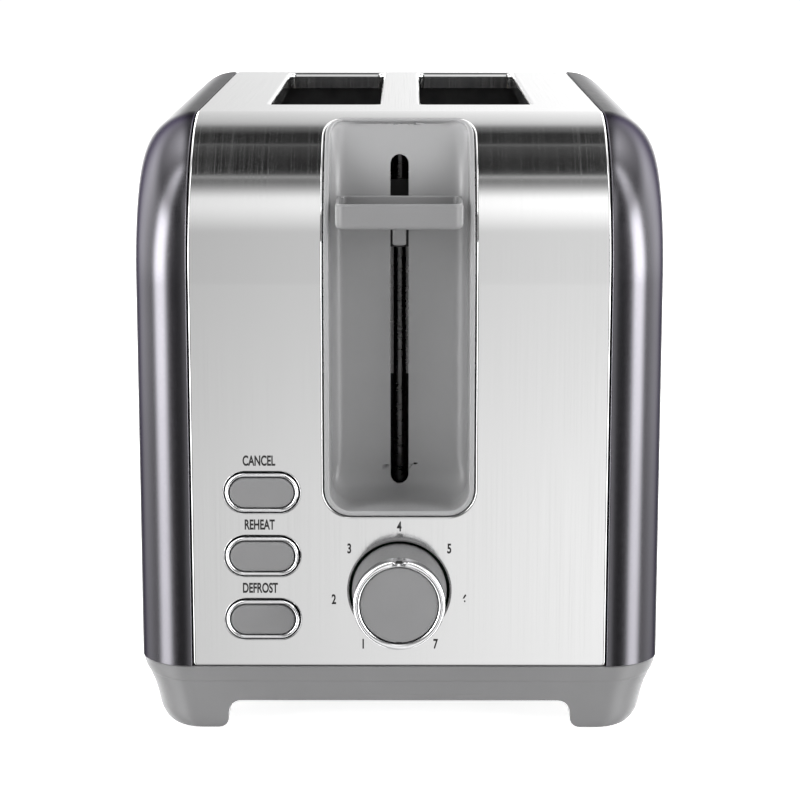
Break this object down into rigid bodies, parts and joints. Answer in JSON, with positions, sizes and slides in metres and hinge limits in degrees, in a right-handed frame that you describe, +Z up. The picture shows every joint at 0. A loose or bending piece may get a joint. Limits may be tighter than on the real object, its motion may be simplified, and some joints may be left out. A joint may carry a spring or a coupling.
{
  "type": "pop up toaster",
  "caption": "Two-slice pop-up toaster with a rounded steel wrap, dark side cheeks, front lever channel, function buttons, browning dial, feet and rear crumb tray.",
  "frame": {"origin": "centre of the bounding box's base, on the surface the feet stand on", "axes": "-Y is the control end with the lever, +Y is the end with the crumb tray and cord gland, +Z is up, +X is right seen from the control end"},
  "size_m": [0.167, 0.313, 0.1943],
  "materials": {
    "satin_steel": "fine satin stainless steel",
    "brushed_gunmetal": "dark brushed steel under a clear gunmetal coat",
    "grey_plastic": "mid-grey moulded plastic with a fine matt texture",
    "channel_plastic": "mid-grey satin moulded plastic",
    "chrome": "satin chrome plating",
    "plated_steel": "zinc-plated sheet and wire",
    "dark_steel": "heat-darkened sheet steel",
    "guard_wire": "bright drawn wire, dulled by heat",
    "mica": "layered mica sheet",
    "copper_winding": "enamelled copper wire",
    "circuit_board": "green solder mask",
    "black_plastic": "black moulded plastic",
    "rubber": "black rubber"
  },
  "bodies": {
    "housing": {"body_wrap": "satin_steel", "left_cheek": "brushed_gunmetal", "right_cheek": "brushed_gunmetal", "base": "grey_plastic", "front_left_pad": "rubber", "front_right_pad": "rubber", "rear_left_pad": "rubber", "rear_right_pad": "rubber", "front_left_screw": "plated_steel", "front_right_screw": "plated_steel", "rear_left_screw": "plated_steel", "rear_right_screw": "plated_steel", "lever_bezel": "channel_plastic", "guide_rod": "plated_steel", "front_chassis_plate": "dark_steel", "rear_chassis_plate": "dark_steel", "magnet_core": "dark_steel", "magnet_coil": "copper_winding", "left_heater": "mica", "centre_left_heater": "mica", "centre_right_heater": "mica", "right_heater": "mica", "left_reflector": "plated_steel", "right_reflector": "plated_steel", "cancel_switch": "black_plastic", "reheat_switch": "black_plastic", "defrost_switch": "black_plastic", "button_guide": "black_plastic", "control_board": "circuit_board", "potentiometer": "black_plastic", "cord_gland": "black_plastic", "return_spring": "plated_steel"},
    "carriage": {"lever_knob": "grey_plastic", "lever_arm": "plated_steel", "carriage_slider": "black_plastic", "carriage_plate": "plated_steel", "keeper_plate": "dark_steel", "left_rack": "plated_steel", "right_rack": "plated_steel"},
    "left_outer_guard": {"left_outer_guard": "guard_wire"},
    "left_inner_guard": {"left_inner_guard": "guard_wire"},
    "right_outer_guard": {"right_outer_guard": "guard_wire"},
    "right_inner_guard": {"right_inner_guard": "guard_wire"},
    "cancel": {"cancel_button": "grey_plastic", "cancel_ring": "chrome"},
    "reheat": {"reheat_button": "grey_plastic", "reheat_ring": "chrome"},
    "defrost": {"defrost_button": "grey_plastic", "defrost_ring": "chrome"},
    "dial": {"dial_knob": "grey_plastic", "dial_ring": "chrome", "dial_cap": "grey_plastic", "dial_shaft": "plated_steel"},
    "tray": {"crumb_tray": "plated_steel", "crumb_tray_pull": "grey_plastic"}
  },
  "joints": [
    {"name": "lever_slide", "type": "slide", "parent": "housing", "child": "carriage", "axis": [0, 0, 1], "range_m": [-0.075, 0.01], "stiffness_N_per_m": 120, "springref_m": 0.0066, "deforming": ["return_spring"]},
    {"name": "left_outer_guard_tilt", "type": "hinge", "parent": "housing", "child": "left_outer_guard", "pos_m": [-0.0414, 0, 0.0428], "axis": [0, 1, 0], "range_deg": [-0.4, 2.4]},
    {"name": "left_inner_guard_tilt", "type": "hinge", "parent": "housing", "child": "left_inner_guard", "pos_m": [-0.0094, 0, 0.0428], "axis": [0, 1, 0], "range_deg": [-2.4, 0.4]},
    {"name": "right_inner_guard_tilt", "type": "hinge", "parent": "housing", "child": "right_inner_guard", "pos_m": [0.0094, 0, 0.0428], "axis": [0, 1, 0], "range_deg": [-0.4, 2.4]},
    {"name": "right_outer_guard_tilt", "type": "hinge", "parent": "housing", "child": "right_outer_guard", "pos_m": [0.0414, 0, 0.0428], "axis": [0, 1, 0], "range_deg": [-2.4, 0.4]},
    {"name": "cancel_press", "type": "slide", "parent": "housing", "child": "cancel", "axis": [0, 1, 0], "range_m": [0, 0.0016], "stiffness_N_per_m": 400, "springref_m": -0.0008},
    {"name": "reheat_press", "type": "slide", "parent": "housing", "child": "reheat", "axis": [0, 1, 0], "range_m": [0, 0.0016], "stiffness_N_per_m": 400, "springref_m": -0.0008},
    {"name": "defrost_press", "type": "slide", "parent": "housing", "child": "defrost", "axis": [0, 1, 0], "range_m": [0, 0.0016], "stiffness_N_per_m": 400, "springref_m": -0.0008},
    {"name": "dial_turn", "type": "hinge", "parent": "housing", "child": "dial", "pos_m": [0, -0.1385, 0.0464], "axis": [0, 1, 0], "range_deg": [-147, 147]},
    {"name": "tray_slide", "type": "slide", "parent": "housing", "child": "tray", "axis": [0, 1, 0], "range_m": [0, 0.19]}
  ],
  "couplings": [
    {"joint": "left_outer_guard_tilt", "follows": "lever_slide", "rad_per_m": -0.52},
    {"joint": "left_inner_guard_tilt", "follows": "lever_slide", "rad_per_m": 0.52},
    {"joint": "right_inner_guard_tilt", "follows": "lever_slide", "rad_per_m": -0.52},
    {"joint": "right_outer_guard_tilt", "follows": "lever_slide", "rad_per_m": 0.52}
  ]
}
